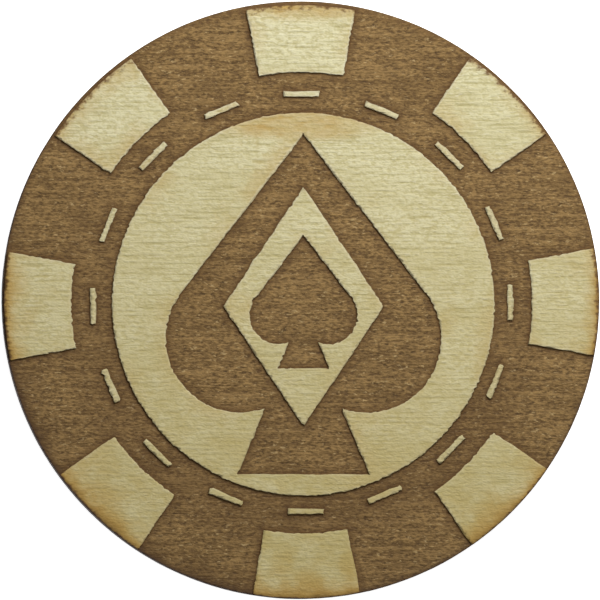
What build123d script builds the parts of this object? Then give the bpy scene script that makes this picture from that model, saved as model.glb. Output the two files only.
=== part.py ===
from build123d import *
from math import acos, atan2, cos, hypot, pi, radians, sin
import os

# A poker dealer button cut by laser from thin three-ply birch sheet. Millimetres.
# The origin is the centre of the underside, +Z points out of the engraved face
# and +Y points to the tip of the spade on it.

# The sheet, from the table up: back ply, glue, core ply, glue, face ply.
button_diameter = 50.8
back_ply_thickness = 0.9
core_ply_thickness = 1.1
face_ply_thickness = 0.9
glue_thickness = 0.05

# The engraving. What the laser leaves standing is called a land.
engraving_depth = 0.2
edge_margin = 0.13  # from the cut edge in to the outer ends of the edge spots
art_shift = (0.05, -0.25)  # the engraving pass sits slightly off the cut circle
art_turn = 0.56  # degrees anticlockwise that the spots and dashes are turned
overcut = 1.0  # how far the engraving pass runs past the edge

# Edge spots, as on a casino chip.
spot_count = 8
spot_angle = 20.85
spot_length = 5.67

# A ring of short dashes inside the spots.
dash_count = 16
dash_length = 3.0
dash_width = 0.42
spot_to_dash_gap = 1.67

# The round centre field.
dash_to_field_gap = 1.27
field_shift = (0.125, -0.12)  # the field's centre from the centre of the rings

# The emblem in the field: a sunk spade, a standing diamond in it, a small sunk spade in that.
emblem_margin = 1.78  # from the field's edge to the spade's tip and foot
spade_slimness = 0.81  # width over height
lobe_size = 0.27  # lobe radius over the spade's width
lobe_level = 0.40  # height of the lobe centres over the spade's height
stem_foot = 0.24  # half the stem's foot over the spade's width
stem_neck = 0.035  # half the stem's neck over the spade's width
diamond_height_share = 0.70  # of the large spade's height
diamond_width_share = 0.58  # of the large spade's width
diamond_drop = 0.2
small_spade_share = 0.56  # of the diamond's height
small_spade_lift = 0.4  # above the middle of the diamond

# Heights of the layers.
lower_glue_bottom = back_ply_thickness
core_bottom = lower_glue_bottom + glue_thickness
upper_glue_bottom = core_bottom + core_ply_thickness
face_bottom = upper_glue_bottom + glue_thickness
button_top = face_bottom + face_ply_thickness

# Radii of the engraving, from the edge inwards.
button_radius = button_diameter / 2
spot_outer_radius = button_radius - edge_margin
spot_inner_radius = spot_outer_radius - spot_length
dash_radius = spot_inner_radius - spot_to_dash_gap - dash_width / 2
field_radius = dash_radius - dash_width / 2 - dash_to_field_gap

# Sizes of the emblem.
spade_height = 2 * (field_radius - emblem_margin)
diamond_height = diamond_height_share * spade_height
diamond_width = diamond_width_share * spade_slimness * spade_height
small_spade_height = small_spade_share * diamond_height


def spade(height):
    """A spade suit mark: straight flanks from the tip to two round lobes, on a flared stem."""
    width = spade_slimness * height
    tip_y = height / 2
    foot_y = -height / 2
    lobe_radius = lobe_size * width
    lobe_x = width / 2 - lobe_radius
    lobe_y = foot_y + lobe_level * height
    # Where the flank touches the right lobe.
    to_lobe = atan2(lobe_y - tip_y, lobe_x)
    opening = acos(lobe_radius / hypot(lobe_x, lobe_y - tip_y))
    flank_angle = to_lobe + pi - opening
    flank_x = lobe_x + lobe_radius * cos(flank_angle)
    flank_y = lobe_y + lobe_radius * sin(flank_angle)
    with BuildSketch() as mark:
        with Locations((lobe_x, lobe_y), (-lobe_x, lobe_y)):
            Circle(lobe_radius)
        with BuildLine():
            Polyline(
                (0, tip_y),
                (flank_x, flank_y),
                (lobe_x, lobe_y),
                (-lobe_x, lobe_y),
                (-flank_x, flank_y),
                close=True,
            )
        make_face()
        with BuildLine():
            Polyline(
                (stem_neck * width, lobe_y),
                (stem_foot * width, foot_y),
                (-stem_foot * width, foot_y),
                (-stem_neck * width, lobe_y),
                close=True,
            )
        make_face()
    return mark.sketch


# The centres. The rings of spots and dashes share one centre, but every spot and
# dash points at the centre of the field.
art_centre = Vector(art_shift)
field_centre = art_centre + Vector(field_shift)
diamond_centre = field_centre - Vector(0, diamond_drop)
small_spade_centre = diamond_centre + Vector(0, small_spade_lift)


def reach(angle):
    """How far the ring of dashes lies from the field's centre, in one direction."""
    along = field_shift[0] * cos(angle) + field_shift[1] * sin(angle)
    across = field_shift[1] * cos(angle) - field_shift[0] * sin(angle)
    return (dash_radius**2 - across**2) ** 0.5 - along


# The edge spots: a ring between two radii, kept only inside wedges from the field's centre.
wedge_half_angle = radians(spot_angle / 2)
wedge_start = field_radius
wedge_end = button_radius + overcut
with BuildSketch() as wedge:
    with BuildLine():
        Polyline(
            (wedge_start * cos(wedge_half_angle), wedge_start * sin(wedge_half_angle)),
            (wedge_end * cos(wedge_half_angle), wedge_end * sin(wedge_half_angle)),
            (wedge_end, 0),
            (wedge_end * cos(wedge_half_angle), -wedge_end * sin(wedge_half_angle)),
            (wedge_start * cos(wedge_half_angle), -wedge_start * sin(wedge_half_angle)),
            close=True,
        )
    make_face()
with BuildSketch() as edge_spots:
    with Locations(field_centre):
        with PolarLocations(0, spot_count, start_angle=art_turn):
            add(wedge.sketch)
    with BuildSketch(mode=Mode.INTERSECT):
        with Locations(art_centre):
            Circle(spot_outer_radius)
            Circle(spot_inner_radius, mode=Mode.SUBTRACT)

# The dashes, each across its own direction from the field's centre.
dash_places = []
for number in range(dash_count):
    dash_angle = art_turn + number * 360 / dash_count
    dash_reach = reach(radians(dash_angle))
    dash_offset = Vector(dash_reach, 0).rotate(Axis.Z, dash_angle)
    dash_places.append(Location(field_centre + dash_offset, (0, 0, dash_angle)))

# The emblem's three nested shapes, about the field's centre.
large_spade = spade(spade_height)
small_spade = spade(small_spade_height)
with BuildSketch() as diamond:
    with BuildLine():
        Polyline(
            (diamond_width / 2, 0),
            (0, diamond_height / 2),
            (-diamond_width / 2, 0),
            (0, -diamond_height / 2),
            close=True,
        )
    make_face()

with BuildPart() as back_ply:
    with BuildSketch(Plane.XY):
        Circle(button_radius)
    extrude(amount=back_ply_thickness)
back_ply.part.label = "back_ply"

with BuildPart() as lower_glue_line:
    with BuildSketch(Plane.XY.offset(lower_glue_bottom)):
        Circle(button_radius)
    extrude(amount=glue_thickness)
lower_glue_line.part.label = "lower_glue_line"

with BuildPart() as core_ply:
    with BuildSketch(Plane.XY.offset(core_bottom)):
        Circle(button_radius)
    extrude(amount=core_ply_thickness)
core_ply.part.label = "core_ply"

with BuildPart() as upper_glue_line:
    with BuildSketch(Plane.XY.offset(upper_glue_bottom)):
        Circle(button_radius)
    extrude(amount=glue_thickness)
upper_glue_line.part.label = "upper_glue_line"

# The face ply: everything but the lands is sunk, and the emblem is sunk into the field.
with BuildPart() as face_ply:
    with BuildSketch(Plane.XY.offset(face_bottom)):
        Circle(button_radius)
    extrude(amount=face_ply_thickness)
    with BuildSketch(Plane.XY.offset(button_top)) as sunk_area:
        Circle(button_radius + overcut)
        add(edge_spots.sketch, mode=Mode.SUBTRACT)
        with Locations(*dash_places):
            Rectangle(dash_width, dash_length, mode=Mode.SUBTRACT)
        with Locations(field_centre):
            Circle(field_radius, mode=Mode.SUBTRACT)
            add(large_spade)
        with Locations(diamond_centre):
            add(diamond.sketch, mode=Mode.SUBTRACT)
        with Locations(small_spade_centre):
            add(small_spade)
    extrude(amount=-engraving_depth, mode=Mode.SUBTRACT)
face_ply.part.label = "face_ply"

os.makedirs("parts", exist_ok=True)
for layer in (back_ply, lower_glue_line, core_ply, upper_glue_line, face_ply):
    export_step(layer.part, f"parts/{layer.part.label}.step")
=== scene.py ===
import math

import bmesh
import bpy
from mathutils import Matrix, Vector, noise
from mathutils.bvhtree import BVHTree


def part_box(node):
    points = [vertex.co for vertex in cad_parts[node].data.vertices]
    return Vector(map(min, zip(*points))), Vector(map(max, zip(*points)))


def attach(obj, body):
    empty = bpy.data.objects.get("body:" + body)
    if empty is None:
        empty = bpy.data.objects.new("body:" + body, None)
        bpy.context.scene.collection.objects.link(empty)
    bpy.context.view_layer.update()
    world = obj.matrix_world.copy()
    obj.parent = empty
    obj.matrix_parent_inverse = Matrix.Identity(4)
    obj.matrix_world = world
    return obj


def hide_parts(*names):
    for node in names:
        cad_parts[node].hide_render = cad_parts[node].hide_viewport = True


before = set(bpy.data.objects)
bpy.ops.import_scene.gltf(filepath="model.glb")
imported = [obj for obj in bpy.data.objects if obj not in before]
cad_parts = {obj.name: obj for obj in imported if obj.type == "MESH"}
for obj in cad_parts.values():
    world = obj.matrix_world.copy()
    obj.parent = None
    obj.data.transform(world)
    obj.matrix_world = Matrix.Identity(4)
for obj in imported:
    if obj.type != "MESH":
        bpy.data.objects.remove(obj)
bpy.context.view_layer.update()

# A birch dealer button, laser cut and laser engraved. Metres, in the CAD frame:
# the button lies on its back at z = 0 and the tip of the spade points along +Y.
bpy.ops.object.select_all(action="DESELECT")

MM = 0.001

# ---- Sizes ------------------------------------------------------------------

button_low, button_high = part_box("face_ply")
button_radius = button_high.x
button_top = button_high.z
face_bottom = button_low.z
face_levels = sorted({round(v.co.z, 6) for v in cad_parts["face_ply"].data.vertices})
engraved_floor = face_levels[-2]

# The cut wall: the laser leaves it a little inside the true circle, gently
# wavy, with fine upright striations and burnt, rounded corners.
wall_points = 1440
wall_inset = 0.018 * MM
wall_wave = 0.022 * MM
wall_striation = 0.007 * MM
corner_round = 0.045 * MM
ply_burn_back = 0.012 * MM  # the plies' walls burn back more than the glue's

# The two engraved surfaces are laid out on a grid, close together across the
# grain and further apart along it.
grid_along = 0.30 * MM
grid_across = 0.12 * MM
back_along = 0.60 * MM
back_across = 0.25 * MM
slab_half = button_radius + 1.0 * MM

# Ragged steps: the engraving follows rows along the grain.
row_pitch = 0.47 * MM
row_shift = 0.045 * MM
edge_wander = 0.115 * MM
wander_cell = 0.32 * MM

# Relief of the surfaces.
land_relief = 0.014 * MM
floor_relief = 0.03 * MM
back_relief = 0.012 * MM
slumped_edge = 0.004 * MM  # the burnt top corner of a step sinks by this much
slump_reach = 0.06 * MM


# ---- Small tools ------------------------------------------------------------


def deselect():
    bpy.ops.object.select_all(action="DESELECT")


def make_active(piece):
    deselect()
    piece.select_set(True)
    bpy.context.view_layer.objects.active = piece


def edit(piece, kind="VERT"):
    make_active(piece)
    bpy.ops.object.mode_set(mode="EDIT")
    bpy.ops.mesh.select_mode(type=kind)
    bpy.ops.mesh.select_all(action="DESELECT")


def done():
    bpy.ops.object.mode_set(mode="OBJECT")


def pick_faces(piece, wanted):
    """Selects, in edit mode, the faces for which wanted(face) is true."""
    work = bmesh.from_edit_mesh(piece.data)
    for face in work.faces:
        face.select_set(wanted(face))
    work.select_flush_mode()
    bmesh.update_edit_mesh(piece.data)


def combine(piece, other, operation):
    """Cuts, joins or trims one closed piece with another, which is used up."""
    make_active(piece)
    modifier = piece.modifiers.new("combine", "BOOLEAN")
    modifier.operation = operation
    modifier.solver = "MANIFOLD"
    modifier.object = other
    bpy.ops.object.modifier_apply(modifier=modifier.name)
    bpy.data.objects.remove(other)


def copy_of(piece, name):
    twin = piece.copy()
    twin.data = piece.data.copy()
    twin.name = name
    bpy.context.collection.objects.link(twin)
    return twin


def settle(piece):
    """Leaves the object at the origin, unturned and unscaled."""
    make_active(piece)
    bpy.ops.object.transform_apply(location=True, rotation=True, scale=True)


# ---- The layers -------------------------------------------------------------


def wall_offset(angle, height):
    """How far the laser's wall lies inside the true circle at one place."""
    c, s = math.cos(angle), math.sin(angle)
    wave = noise.noise(Vector((9 * c, 9 * s, 40 * height / button_radius)))
    ripple = noise.noise(Vector((70 * c, 70 * s, 6 * height / button_radius)))
    return wall_inset + wall_wave * (0.5 + 0.5 * wave) + wall_striation * (0.5 + ripple)


def round_blank():
    """The shape that the laser cuts: a disc with a wavy wall and softened corners."""
    bpy.ops.mesh.primitive_cylinder_add(
        vertices=wall_points, radius=button_radius, depth=button_top, location=(0, 0, button_top / 2)
    )
    blank = bpy.context.object
    blank.name = "round_blank"
    settle(blank)
    edit(blank, "EDGE")
    work = bmesh.from_edit_mesh(blank.data)
    for edge in work.edges:
        flat = abs(edge.verts[0].co.z - edge.verts[1].co.z) < 0.1 * button_top
        edge.select_set(flat)
    bmesh.update_edit_mesh(blank.data)
    bpy.ops.mesh.bevel(offset=corner_round, segments=2, affect="EDGES")
    done()
    for vertex in blank.data.vertices:
        x, y, z = vertex.co
        offset = wall_offset(math.atan2(y, x), z)
        if math.hypot(x, y) > 0.9 * button_radius:
            vertex.co.x *= 1 - offset / button_radius
            vertex.co.y *= 1 - offset / button_radius
    return blank


def slab(name, along, across, gridded, far):
    """A square slab whose surface at the height gridded is a grid, down or up to far."""
    columns = round(2 * slab_half / along)
    rows = round(2 * slab_half / across)
    bpy.ops.mesh.primitive_grid_add(
        x_subdivisions=columns, y_subdivisions=rows, size=2 * slab_half, location=(0, 0, gridded)
    )
    piece = bpy.context.object
    piece.name = name
    settle(piece)
    edit(piece)
    bpy.ops.mesh.select_all(action="SELECT")
    drop = 2 * (far - gridded)
    bpy.ops.mesh.extrude_region_move(TRANSFORM_OT_translate={"value": (0, 0, drop)})
    bpy.ops.mesh.select_all(action="SELECT")
    bpy.ops.mesh.bisect(
        plane_co=(0, 0, far),
        plane_no=(0, 0, 1),
        use_fill=True,
        clear_inner=gridded > far,
        clear_outer=gridded < far,
    )
    bpy.ops.mesh.select_all(action="SELECT")
    bpy.ops.mesh.normals_make_consistent(inside=False)
    done()
    return piece


def standing_lands():
    """The lands as tall prisms, drawn from the tops of the CAD face ply."""
    lands = copy_of(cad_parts["face_ply"], "standing_lands")
    lands.hide_render = False
    edit(lands, "FACE")
    bpy.ops.mesh.select_all(action="SELECT")
    bpy.ops.mesh.remove_doubles(threshold=0.0005 * MM)
    bpy.ops.mesh.select_all(action="DESELECT")
    level = button_top - 0.01 * MM
    pick_faces(lands, lambda face: min(v.co.z for v in face.verts) < level)
    bpy.ops.mesh.delete(type="FACE")
    bpy.ops.mesh.select_all(action="SELECT")
    bpy.ops.mesh.dissolve_limited(angle_limit=math.radians(0.01))
    bpy.ops.transform.translate(value=(0, 0, 0.2 * MM))
    drop = engraved_floor - button_top - 0.4 * MM
    bpy.ops.mesh.extrude_region_move(TRANSFORM_OT_translate={"value": (0, 0, drop)})
    bpy.ops.mesh.select_all(action="SELECT")
    bpy.ops.mesh.normals_make_consistent(inside=False)
    done()
    return lands


def make_face(blank):
    floor_slab = slab("face_veneer", grid_along, grid_across, engraved_floor, face_bottom)
    top_slab = slab("land_tops", grid_along, grid_across, button_top, engraved_floor - 0.1 * MM)
    combine(top_slab, standing_lands(), "INTERSECT")
    combine(floor_slab, top_slab, "UNION")
    combine(floor_slab, copy_of(blank, "trim"), "INTERSECT")
    return floor_slab


def row_wander(x, y):
    """Sideways shift of one engraved row near one place."""
    phase = 3 * noise.noise(Vector((x / (6 * MM), y / (2.5 * MM), 7)))
    strength = 0.75 + noise.noise(Vector((x / (3 * MM), y / (1.3 * MM), 19)))
    beat = math.sin(2 * math.pi * y / row_pitch + phase)
    stray = noise.noise(Vector((x / (8 * MM), y / (0.24 * MM), 0)))
    return row_shift * (strength * beat + 0.8 * stray)


def make_steps_ragged(piece):
    """Shifts the engraved rows to and fro, less and less towards the cut wall."""
    for vertex in piece.data.vertices:
        x, y, z = vertex.co
        to_wall = button_radius - math.hypot(x, y)
        keep = min(1, max(0, (to_wall - 0.15 * MM) / (0.6 * MM)))
        here = Vector((x, y, 0)) / wander_cell
        wander_x = noise.noise(here)
        wander_y = noise.noise(here + Vector((31, 17, 5)))
        vertex.co.x += keep * (row_wander(x, y) + edge_wander * wander_x)
        vertex.co.y += keep * edge_wander * wander_y


def measure_steps(piece):
    """Stores each point's distance from the nearest engraved step, in millimetres."""
    corners = [v.co.copy() for v in piece.data.vertices]
    inside = button_radius - 0.12 * MM
    steps = [
        tuple(face.vertices)
        for face in piece.data.polygons
        if abs(face.normal.z) < 0.5 and math.hypot(face.center.x, face.center.y) < inside
    ]
    walls = BVHTree.FromPolygons(corners, steps)
    distances = [walls.find_nearest(corner)[3] / MM for corner in corners]
    layer = piece.data.attributes.new("step_distance", "FLOAT", "POINT")
    layer.data.foreach_set("value", distances)
    return distances


def raise_grain(piece, level, relief, along, across, seed):
    """Gives the flat surface at one level a low relief drawn out along the grain."""
    for vertex in piece.data.vertices:
        if abs(vertex.co.z - level) > 0.004 * MM:
            continue
        x, y = vertex.co.x / along, vertex.co.y / across
        broad = noise.noise(Vector((x, y, seed)))
        fine = noise.noise(Vector((2.3 * x, 2.7 * y, seed + 9)))
        height = 0.6 * broad + 0.4 * fine
        vertex.co.z += relief * height


def soften_step_corners(piece, distances):
    for vertex, distance in zip(piece.data.vertices, distances):
        if vertex.co.z > button_top - 0.1 * MM:
            vertex.co.z -= slumped_edge * math.exp(-distance * MM / slump_reach)


def make_layer(name, low, high, burn_back):
    """One layer between two heights, trimmed from the round shape that the laser cuts."""
    layer = copy_of(blank, name)
    for vertex in layer.data.vertices:
        vertex.co.x *= 1 - burn_back / button_radius
        vertex.co.y *= 1 - burn_back / button_radius
    edit(layer)
    for height, below in ((low, True), (high, False)):
        if 0 < height < button_top:
            bpy.ops.mesh.select_all(action="SELECT")
            bpy.ops.mesh.bisect(
                plane_co=(0, 0, height),
                plane_no=(0, 0, 1),
                use_fill=True,
                clear_inner=below,
                clear_outer=not below,
                threshold=0.001 * MM,
            )
    bpy.ops.mesh.select_all(action="SELECT")
    bpy.ops.mesh.normals_make_consistent(inside=False)
    done()
    return layer


def make_back(name, low, high):
    back = slab(name, back_along, back_across, low, high)
    combine(back, copy_of(blank, "trim"), "INTERSECT")
    return back


def finish_piece(piece, node):
    settle(piece)
    bpy.ops.object.shade_smooth_by_angle(angle=math.radians(38))
    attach(piece, "root")
    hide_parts(node)


blank = round_blank()

face_veneer = make_face(blank)
make_steps_ragged(face_veneer)
step_distances = measure_steps(face_veneer)
raise_grain(face_veneer, button_top, land_relief, 2.4 * MM, 0.33 * MM, 2)
raise_grain(face_veneer, engraved_floor, floor_relief, 0.9 * MM, 0.42 * MM, 5)
for vertex in face_veneer.data.vertices:
    vertex.co.z = min(vertex.co.z, button_top)
soften_step_corners(face_veneer, step_distances)
finish_piece(face_veneer, "face_ply")

upper_glue = make_layer("upper_glue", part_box("upper_glue_line")[0].z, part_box("upper_glue_line")[1].z, 0)
finish_piece(upper_glue, "upper_glue_line")
core_veneer = make_layer("core_veneer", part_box("core_ply")[0].z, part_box("core_ply")[1].z, ply_burn_back)
finish_piece(core_veneer, "core_ply")
lower_glue = make_layer("lower_glue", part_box("lower_glue_line")[0].z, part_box("lower_glue_line")[1].z, 0)
finish_piece(lower_glue, "lower_glue_line")

back_veneer = make_back("back_veneer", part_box("back_ply")[0].z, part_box("back_ply")[1].z)
raise_grain(back_veneer, 0, back_relief, 2.4 * MM, 0.45 * MM, 11)
for vertex in back_veneer.data.vertices:
    vertex.co.z = max(vertex.co.z, 0)
finish_piece(back_veneer, "back_ply")
bpy.data.objects.remove(blank)


# ---- Finishes ---------------------------------------------------------------


def srgb(red, green, blue):
    """A colour as seen on a screen, 0 to 255, as linear light."""
    linear = []
    for value in (red, green, blue):
        value /= 255
        linear.append(value / 12.92 if value < 0.04045 else ((value + 0.055) / 1.055) ** 2.4)
    return (*linear, 1)


class Finish:
    """A procedural material, written as short calls that each return a socket."""

    def __init__(self, name):
        self.material = bpy.data.materials.new(name)
        self.material.use_nodes = True
        self.nodes = self.material.node_tree.nodes
        self.links = self.material.node_tree.links
        self.shader = self.nodes["Principled BSDF"]
        self.object_coordinates = self.nodes.new("ShaderNodeTexCoord").outputs["Object"]
        self.place = self.vector_maths("SCALE", self.object_coordinates, scale=1 / MM)
        split = self.nodes.new("ShaderNodeSeparateXYZ")
        self.links.new(self.place, split.inputs[0])
        self.x, self.y, self.z = split.outputs

    def feed(self, socket, value):
        if isinstance(value, bpy.types.NodeSocket):
            self.links.new(value, socket)
        else:
            socket.default_value = value

    def vector_maths(self, operation, a, b=None, scale=None):
        node = self.nodes.new("ShaderNodeVectorMath")
        node.operation = operation
        self.feed(node.inputs[0], a)
        if b is not None:
            self.feed(node.inputs[1], b)
        if scale is not None:
            self.feed(node.inputs["Scale"], scale)
        return node.outputs["Vector"]

    def maths(self, operation, a, b=None, clamp=False):
        node = self.nodes.new("ShaderNodeMath")
        node.operation = operation
        node.use_clamp = clamp
        self.feed(node.inputs[0], a)
        if b is not None:
            self.feed(node.inputs[1], b)
        return node.outputs[0]

    def weighted(self, *terms):
        """The sum of values, each times its weight."""
        total = 0
        for value, weight in terms:
            total = self.maths("ADD", total, self.maths("MULTIPLY", value, weight))
        return total

    def fade(self, distance, width):
        """Falls from 1 towards 0 with distance, to a third at one width."""
        return self.maths("EXPONENT", self.maths("MULTIPLY", self.maths("DIVIDE", distance, width), -1))

    def noise(self, per_mm, detail=4, roughness=0.55, seed=0):
        """Even noise from 0 to 1, with its size set along each axis."""
        stretched = self.nodes.new("ShaderNodeMapping")
        stretched.inputs["Scale"].default_value = per_mm
        stretched.inputs["Location"].default_value = (seed * 13.7, seed * 7.3, seed * 3.1)
        self.links.new(self.place, stretched.inputs["Vector"])
        node = self.nodes.new("ShaderNodeTexNoise")
        node.inputs["Scale"].default_value = 1
        node.inputs["Detail"].default_value = detail
        node.inputs["Roughness"].default_value = roughness
        self.links.new(stretched.outputs[0], node.inputs["Vector"])
        return node.outputs["Fac"]

    def remap(self, value, low, high, to_low=0, to_high=1, smooth=True):
        node = self.nodes.new("ShaderNodeMapRange")
        node.interpolation_type = "SMOOTHSTEP" if smooth else "LINEAR"
        node.clamp = True
        self.feed(node.inputs["Value"], value)
        limits = {"From Min": low, "From Max": high, "To Min": to_low, "To Max": to_high}
        for name, number in limits.items():
            self.feed(node.inputs[name], number)
        return node.outputs[0]

    def mix(self, factor, a, b, blend="MIX"):
        node = self.nodes.new("ShaderNodeMix")
        node.data_type = "RGBA"
        node.blend_type = blend
        node.clamp_factor = True
        self.feed(node.inputs["Factor"], factor)
        self.feed(node.inputs[6], a)
        self.feed(node.inputs[7], b)
        return node.outputs[2]

    def attribute(self, name):
        node = self.nodes.new("ShaderNodeAttribute")
        node.attribute_name = name
        return node.outputs["Fac"]

    def bump(self, height, depth):
        """Relief from a height of 0 to 1, this many metres deep."""
        node = self.nodes.new("ShaderNodeBump")
        node.inputs["Strength"].default_value = 1
        node.inputs["Distance"].default_value = depth
        self.feed(node.inputs["Height"], height)
        self.links.new(node.outputs[0], self.shader.inputs["Normal"])


cream_light = srgb(217, 212, 175)
cream_dark = srgb(197, 189, 144)
cream_line = srgb(164, 154, 103)
# Colour of pale flecks in the birch, also used for the painted highlight along the steps.
cream_fleck_and_highlight = srgb(226, 222, 196)
golden = srgb(180, 146, 76)
# Tint of the lands towards the lower side of the button.
lower_side_tint = srgb(179, 162, 102)
# Brown of laser smoke, also used for painted shade on the floor next to the steps.
smoke_and_shade_brown = srgb(88, 62, 33)
scorched = srgb(106, 76, 42)
# Brown of burnt wood, also used for painted shade on the floor beside the steps.
burnt_and_shade_brown = srgb(88, 60, 30)
singed = srgb(60, 42, 28)
charred = srgb(46, 33, 28)
wall_brown = srgb(92, 64, 42)
engraved_light = srgb(156, 126, 79)
engraved_dark = srgb(95, 71, 38)
engraved_pit = srgb(62, 43, 21)
engraved_speck = srgb(186, 160, 112)


# Golden patches on the middle line: height up the button and half sizes, millimetres.
smoke_patches = ((15.2, 7.0, 1.6), (25.4, 6.0, 1.6))

# The ring of dashes lies in a darker band, darker towards the lower side of the button,
# which fades in and out over these distances from the cut wall, millimetres.
dark_band_outer = (4.0, 5.2)
dark_band_inner = (9.8, 8.8)


def bare_birch(finish, seed):
    """Colour and height of bare birch veneer with its grain along X."""
    figure = finish.noise((0.05, 0.35, 0.3), 3, 0.5, seed)
    lines = finish.noise((0.30, 4.6, 1), 1, 0.4, seed + 1)
    grains = finish.noise((2.6, 4.4, 1), 1, 0.5, seed + 4)
    pores = finish.noise((0.5, 8.0, 1), 2, 0.5, seed + 2)
    flecks = finish.noise((2.0, 5.0, 1), 3, 0.6, seed + 3)
    colour = finish.mix(finish.remap(figure, 0.35, 0.65, 0, 0.5), cream_light, cream_dark)
    colour = finish.mix(finish.remap(grains, 0.40, 0.70, 0, 1.0), colour, cream_dark)
    colour = finish.mix(finish.remap(lines, 0.50, 0.74, 0, 0.6), colour, cream_line)
    colour = finish.mix(finish.remap(pores, 0.58, 0.72, 0, 0.4), colour, cream_line)
    colour = finish.mix(finish.remap(flecks, 0.57, 0.72, 0, 0.5), colour, cream_fleck_and_highlight)
    height = finish.weighted((lines, -0.8), (grains, -1.6), (pores, -0.3))
    return colour, height


def distance_to_wall(finish):
    """Millimetres in from the true circle."""
    squares = finish.weighted((finish.x, finish.x), (finish.y, finish.y))
    return finish.maths("SUBTRACT", button_radius / MM, finish.maths("SQRT", squares))


def leaning(finish, degrees):
    """From -1 to 1 across the button, rising in one direction."""
    turn = math.radians(degrees)
    scale = MM / button_radius
    return finish.weighted((finish.x, math.cos(turn) * scale), (finish.y, math.sin(turn) * scale))


def reach(finish, degrees, middle, swing):
    """A width in millimetres round the rim, widest in one direction."""
    return finish.maths("ADD", finish.maths("MULTIPLY", leaning(finish, degrees), swing), middle)


def scorch(finish, colour, inward, wood):
    """A darker, yellower tint low on the lands, then golden, brown and charred wood towards the cut wall."""
    radius = button_radius / MM
    patchy = finish.noise((0.5, 0.5, 0.5), 4, 0.6, 21)
    fine = finish.noise((1.9, 2.6, 1.0), 3, 0.6, 22)
    # The lands are tinted darker and yellower towards the lower side of the button.
    towards_lower_side = finish.remap(finish.y, 0.75 * radius, -0.8 * radius, 0, 0.75, smooth=False)
    towards_lower_side = finish.maths("MULTIPLY", towards_lower_side, finish.remap(patchy, 0.3, 0.7, 0.7, 1.2))
    colour = finish.mix(finish.maths("MULTIPLY", towards_lower_side, wood), colour, lower_side_tint)

    uneven = finish.remap(patchy, 0.3, 0.7, 0.6, 1.6)
    glow_reach = finish.maths("MULTIPLY", reach(finish, 250, 0.62, 0.38), uneven)
    glow = finish.maths("MULTIPLY", finish.fade(inward, glow_reach), 1.45, clamp=True)
    colour = finish.mix(finish.maths("MULTIPLY", glow, wood), colour, golden)
    bare = finish.maths("SUBTRACT", 1.0, wood)
    dark_reach = finish.maths("MULTIPLY", reach(finish, 222, 0.48, 0.40), uneven)
    strength = finish.remap(leaning(finish, 228), 0.2, 0.9, 0, 0.75)
    smoke = finish.maths("MULTIPLY", finish.fade(inward, dark_reach), strength)
    colour = finish.mix(finish.maths("MULTIPLY", smoke, bare), colour, smoke_and_shade_brown)

    ragged = finish.maths("SUBTRACT", fine, 0.5)
    brown_edge = finish.maths("DIVIDE", inward, reach(finish, 101, 0.26, 0.17))
    brown_edge = finish.weighted((brown_edge, 1), (ragged, 5.5))
    brown = finish.remap(brown_edge, 0.5, 1.7, 0.95, 0, smooth=False)
    brown = finish.maths("MULTIPLY", brown, finish.remap(wood, 0, 1, 0.45, 1))
    colour = finish.mix(brown, colour, scorched)
    singe_reach = finish.maths("MULTIPLY", reach(finish, 258, 0.14, 0.13), uneven)
    singe = finish.maths("MULTIPLY", finish.fade(inward, singe_reach), 0.95)
    colour = finish.mix(singe, colour, singed)
    black_edge = finish.weighted((inward, 1), (ragged, 0.15), (leaning(finish, 215), -0.04))
    streaks = finish.noise((3.5, 3.5, 0.35), 4, 0.6, 24)
    char = finish.mix(finish.remap(streaks, 0.45, 0.72, 0, 0.55), charred, wall_brown)
    return finish.mix(finish.remap(black_edge, 0.03, 0.10, 0.95, 0), colour, char)


def smoke_patch(finish, height, half_width, half_height):
    """A soft golden patch on the middle line, this many millimetres up the button."""
    across = finish.maths("DIVIDE", finish.x, half_width)
    down = finish.maths("DIVIDE", finish.maths("SUBTRACT", finish.y, height), half_height)
    far = finish.weighted((across, across), (down, down))
    uneven = finish.remap(finish.noise((0.3, 0.8, 0.5), 3, 0.6, 19), 0.35, 0.65, 0.5, 1)
    return finish.maths("MULTIPLY", finish.remap(far, 0.1, 1.6, 0.85, 0), uneven)


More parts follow.
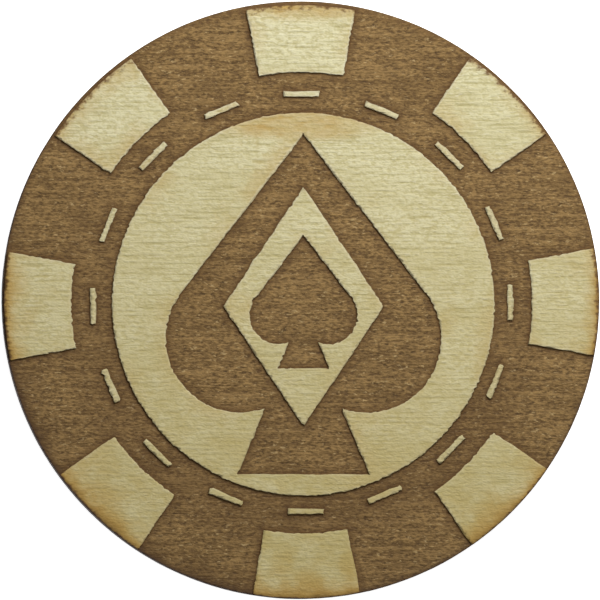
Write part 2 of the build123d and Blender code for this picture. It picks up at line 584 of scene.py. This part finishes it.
def face_finish():
    finish = Finish("engraved_birch")
    deep = (button_top - engraved_floor) / MM
    land = finish.remap(finish.z, button_top / MM - 0.6 * deep, button_top / MM - 0.3 * deep)
    step = finish.attribute("step_distance")
    uneven = finish.noise((1.6, 1.6, 0.5), 3, 0.6, 15)
    step = finish.maths("MULTIPLY", step, finish.remap(uneven, 0.3, 0.7, 0.7, 1.5))
    wood, wood_height = bare_birch(finish, 1)
    heat = finish.remap(finish.noise((0.35, 0.35, 0.5), 3, 0.6, 17), 0.35, 0.65, 0.25, 1)
    wide = finish.remap(finish.noise((0.12, 0.12, 0.5), 3, 0.6, 18), 0.45, 0.65, 0, 0.4)
    wood = finish.mix(finish.maths("MULTIPLY", finish.remap(step, 0.1, 2.2, 1, 0), wide), wood, golden)
    wood = finish.mix(finish.maths("MULTIPLY", finish.remap(step, 0.02, 0.40, 0.22, 0), heat), wood, golden)
    # Painted highlight: a lighter margin along the top edge of each step.
    wood = finish.mix(finish.remap(step, 0.05, 0.20, 0.35, 0), wood, cream_fleck_and_highlight)
    wood = finish.mix(finish.maths("MULTIPLY", finish.remap(step, 0.01, 0.06, 0.3, 0), heat), wood, burnt_and_shade_brown)
    for height, half_width, half_height in smoke_patches:
        wood = finish.mix(smoke_patch(finish, height, half_width, half_height), wood, golden)

    mottle = finish.noise((2.6, 6.0, 1), 3, 0.6, 5)
    streaks = finish.noise((0.16, 3.6, 1), 4, 0.6, 6)
    pits = finish.noise((1.9, 4.4, 1), 3, 0.6, 7)
    specks = finish.noise((2.1, 5.0, 1), 3, 0.6, 8)
    patches = finish.noise((0.22, 0.5, 0.5), 3, 0.6, 9)
    floor = finish.mix(finish.remap(mottle, 0.33, 0.67), engraved_dark, engraved_light)
    floor = finish.mix(finish.remap(streaks, 0.50, 0.68, 0, 0.6), floor, engraved_light)
    floor = finish.mix(finish.remap(streaks, 0.50, 0.32, 0, 0.6), floor, engraved_dark)
    floor = finish.mix(finish.remap(patches, 0.45, 0.70, 0, 0.35), floor, engraved_dark)
    floor = finish.mix(finish.remap(pits, 0.55, 0.70, 0, 0.7), floor, engraved_pit)
    floor = finish.mix(finish.remap(specks, 0.60, 0.70, 0, 0.75), floor, engraved_speck)
    inward = distance_to_wall(finish)
    # A darker band round the ring of dashes, darker towards the lower side of the button.
    outer_side = finish.remap(inward, *dark_band_outer)
    inner_side = finish.remap(inward, *dark_band_inner)
    ring = finish.maths("MULTIPLY", outer_side, inner_side)
    ring = finish.maths("MULTIPLY", ring, finish.remap(leaning(finish, 255), -0.6, 0.4, 0, 0.22))
    floor = finish.mix(ring, floor, smoke_and_shade_brown)
    # Painted shade and laser smoke: the floor darkens for up to a millimetre out from each step.
    floor = finish.mix(finish.remap(step, 0.02, 1.0, 0.5, 0), floor, smoke_and_shade_brown)
    # Laser burn and painted shade: a dark brown band on the floor beside each step, as wide as the step's
    # shadow.
    floor = finish.mix(finish.maths("MULTIPLY", finish.remap(step, 0.08, 0.30, 0.55, 0), heat), floor, burnt_and_shade_brown)

    colour = finish.mix(land, floor, wood)
    colour = scorch(finish, colour, inward, land)
    finish.feed(finish.shader.inputs["Base Color"], colour)
    finish.feed(finish.shader.inputs["Roughness"], finish.remap(mottle, 0.3, 0.7, 0.62, 0.85))
    finish.shader.inputs["Specular IOR Level"].default_value = 0.25
    floor_height = finish.weighted((mottle, 1.3), (streaks, 0.8), (pits, -0.9))
    height = finish.nodes.new("ShaderNodeMix")
    finish.feed(height.inputs["Factor"], land)
    finish.feed(height.inputs[2], finish.maths("MULTIPLY", floor_height, 2.0))
    finish.feed(height.inputs[3], finish.maths("MULTIPLY", wood_height, 1.4))
    finish.bump(height.outputs[0], 0.035 * MM)
    return finish.material


def back_finish():
    finish = Finish("back_birch")
    colour, height = bare_birch(finish, 31)
    smoke = finish.noise((0.10, 0.10, 0.1), 4, 0.6, 33)
    colour = finish.mix(finish.remap(smoke, 0.55, 0.75, 0, 0.35), colour, golden)
    colour = scorch(finish, colour, distance_to_wall(finish), 1.0)
    finish.feed(finish.shader.inputs["Base Color"], colour)
    finish.feed(finish.shader.inputs["Roughness"], finish.remap(height, -1, 0, 0.6, 0.8))
    finish.shader.inputs["Specular IOR Level"].default_value = 0.25
    finish.bump(height, 0.03 * MM)
    return finish.material


def wall_finish(name, light, dark, roughness, seed):
    """A laser-cut wall: charred, with upright streaks."""
    finish = Finish(name)
    streaks = finish.noise((3.5, 3.5, 0.35), 4, 0.6, seed)
    grains = finish.noise((9.0, 9.0, 7.0), 3, 0.6, seed + 1)
    colour = finish.mix(finish.remap(streaks, 0.35, 0.70), dark, light)
    colour = finish.mix(finish.remap(grains, 0.55, 0.75, 0, 0.7), colour, dark)
    finish.feed(finish.shader.inputs["Base Color"], colour)
    sheen = finish.remap(streaks, 0.3, 0.7, roughness - 0.1, roughness + 0.1)
    finish.feed(finish.shader.inputs["Roughness"], sheen)
    finish.shader.inputs["Specular IOR Level"].default_value = 0.3
    finish.bump(finish.maths("ADD", streaks, grains), 0.02 * MM)
    return finish.material


def coat(piece, material):
    piece.data.materials.clear()
    piece.data.materials.append(material)


coat(face_veneer, face_finish())
coat(back_veneer, back_finish())
coat(core_veneer, wall_finish("charred_core", wall_brown, srgb(40, 28, 22), 0.8, 41))
glue_finish = wall_finish("charred_glue", srgb(40, 27, 20), srgb(20, 14, 12), 0.5, 45)
coat(upper_glue, glue_finish)
coat(lower_glue, glue_finish)


# ---- Floor, light and camera ------------------------------------------------

floor_drop = 0.02 * MM  # keeps the floor clear of the underside
bpy.ops.mesh.primitive_plane_add(size=3, location=(0, 0, -floor_drop))
floor = bpy.context.object
floor.name = "floor"
white = bpy.data.materials.new("white_table")
white.use_nodes = True
paint = white.node_tree.nodes["Principled BSDF"].inputs
paint["Base Color"].default_value = (0.95, 0.95, 0.95, 1)
paint["Roughness"].default_value = 0.9
paint["Specular IOR Level"].default_value = 0.1
paint["Emission Color"].default_value = (1, 1, 1, 1)
paint["Emission Strength"].default_value = 0.9
coat(floor, white)


def soft_light(name, place, size, power, colour):
    lamp = bpy.data.lights.new(name, "AREA")
    lamp.shape = "DISK"
    lamp.size = size
    lamp.energy = power
    lamp.color = colour
    holder = bpy.data.objects.new(name, lamp)
    holder.location = place
    holder.rotation_mode = "QUATERNION"
    holder.rotation_quaternion = (-Vector(place)).to_track_quat("-Z", "Y")
    bpy.context.collection.objects.link(holder)


# Each light's place and size in metres, its watts and its colour.
soft_light("window", place=(0.035, 0.095, 0.13), size=0.11, power=0.283, colour=(1.0, 0.985, 0.96))
soft_light("fill", place=(0.10, -0.16, 0.24), size=0.20, power=0.06, colour=(1.0, 0.96, 0.90))

world = bpy.data.worlds.new("studio")
world.use_nodes = True
sky = world.node_tree.nodes["Background"].inputs
sky["Color"].default_value = (1, 1, 1, 1)
sky["Strength"].default_value = 0.15
bpy.context.scene.world = world
bpy.context.scene.view_settings.view_transform = "Standard"
bpy.context.scene.view_settings.look = "None"

# The camera looks down on the face, a few degrees off upright, from the lower left.
lens = 600
sensor = 36
camera_tilt = math.radians(4)
camera_side = math.radians(212)
view_half_width = 25.448 * MM
camera_data = bpy.data.cameras.new("camera")
camera_data.lens = lens
camera_data.sensor_width = sensor
camera_data.dof.use_dof = False
camera = bpy.data.objects.new("camera", camera_data)
bpy.context.collection.objects.link(camera)
bpy.context.scene.camera = camera
away = Vector((
    math.sin(camera_tilt) * math.cos(camera_side),
    math.sin(camera_tilt) * math.sin(camera_side),
    math.cos(camera_tilt),
))
aim = Vector((-0.129 * MM, -0.030 * MM, button_top))
distance = view_half_width * 2 * lens / sensor
right = Vector((0, 1, 0)).cross(away).normalized()
up = away.cross(right)
turned = Matrix((right, up, away)).transposed().to_4x4()
camera.matrix_world = Matrix.Translation(aim + away * distance) @ turned
camera_data.clip_start = 0.1 * distance
camera_data.clip_end = 10 * distance
